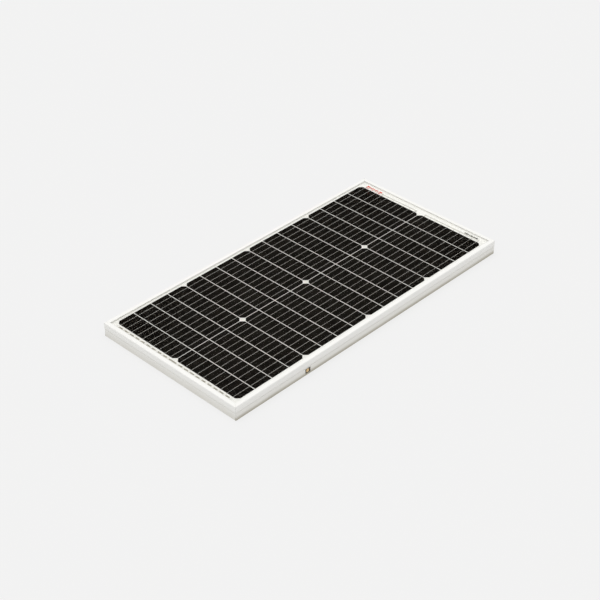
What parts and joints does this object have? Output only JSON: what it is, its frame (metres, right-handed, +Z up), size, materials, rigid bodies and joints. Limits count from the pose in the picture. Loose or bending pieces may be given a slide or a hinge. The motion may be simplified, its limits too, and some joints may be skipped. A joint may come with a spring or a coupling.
{
  "type": "framed solar panel",
  "caption": "Rigid photovoltaic panel: glass laminate of split silicon cells in a mitred white aluminium frame, with a junction box, its hinged lid and cable glands on the back.",
  "frame": {"origin": "middle of the footprint, on the surface that the panel lies on", "axes": "+X along the long side towards the junction box's end, +Y across, from the side with the earthing window to the other, +Z up out of the glass"},
  "size_m": [0.809, 0.397, 0.035],
  "materials": {
    "frame_white": "satin",
    "key_aluminium": "matte",
    "clear_glass": "gloss",
    "clear_film": "gloss",
    "cell_silicon": "gloss",
    "tinned_copper": "satin",
    "backsheet_white": "matte",
    "silicone_white": "matte",
    "box_black": "matte",
    "seal_rubber": "matte",
    "diode_black": "gloss",
    "earth_brass": "satin"
  },
  "bodies": {
    "panel": {"backsheet": "backsheet_white", "bus_ribbon_cross": "tinned_copper", "bus_ribbon_negative": "tinned_copper", "bus_ribbon_positive": "tinned_copper", "bypass_diode": "diode_black", "cable_seal_negative": "seal_rubber", "cable_seal_positive": "seal_rubber", "cell_a01": "cell_silicon", "cell_a02": "cell_silicon", "cell_a03": "cell_silicon", "cell_a04": "cell_silicon", "cell_a05": "cell_silicon", "cell_a06": "cell_silicon", "cell_a07": "cell_silicon", "cell_a08": "cell_silicon", "cell_a09": "cell_silicon", "cell_a10": "cell_silicon", "cell_a11": "cell_silicon", "cell_a12": "cell_silicon", "cell_a13": "cell_silicon", "cell_a14": "cell_silicon", "cell_a15": "cell_silicon", "cell_a16": "cell_silicon", "cell_b01": "cell_silicon", "cell_b02": "cell_silicon", "cell_b03": "cell_silicon", "cell_b04": "cell_silicon", "cell_b05": "cell_silicon", "cell_b06": "cell_silicon", "cell_b07": "cell_silicon", "cell_b08": "cell_silicon", "cell_b09": "cell_silicon", "cell_b10": "cell_silicon", "cell_b11": "cell_silicon", "cell_b12": "cell_silicon", "cell_b13": "cell_silicon", "cell_b14": "cell_silicon", "cell_b15": "cell_silicon", "cell_b16": "cell_silicon", "corner_key_front_left": "key_aluminium", "corner_key_front_right": "key_aluminium", "corner_key_rear_left": "key_aluminium", "corner_key_rear_right": "key_aluminium", "cover_glass": "clear_glass", "earthing_screw": "earth_brass", "edge_seal": "silicone_white", "encapsulant_front": "clear_film", "encapsulant_rear": "clear_film", "frame_rail_front": "frame_white", "frame_rail_left": "frame_white", "frame_rail_rear": "frame_white", "frame_rail_right": "frame_white", "gland_nut_negative": "box_black", "gland_nut_positive": "box_black", "junction_box_adhesive": "silicone_white", "junction_box_base": "box_black", "terminal_negative": "tinned_copper", "terminal_positive": "tinned_copper"},
    "lid": {"junction_box_lid": "box_black", "lid_seal": "seal_rubber"}
  },
  "joints": [
    {"name": "lid_hinge", "type": "hinge", "parent": "panel", "child": "lid", "pos_m": [0.3556, 0, 0.0116], "axis": [0, -1, 0], "range_deg": [0, 110]}
  ]
}
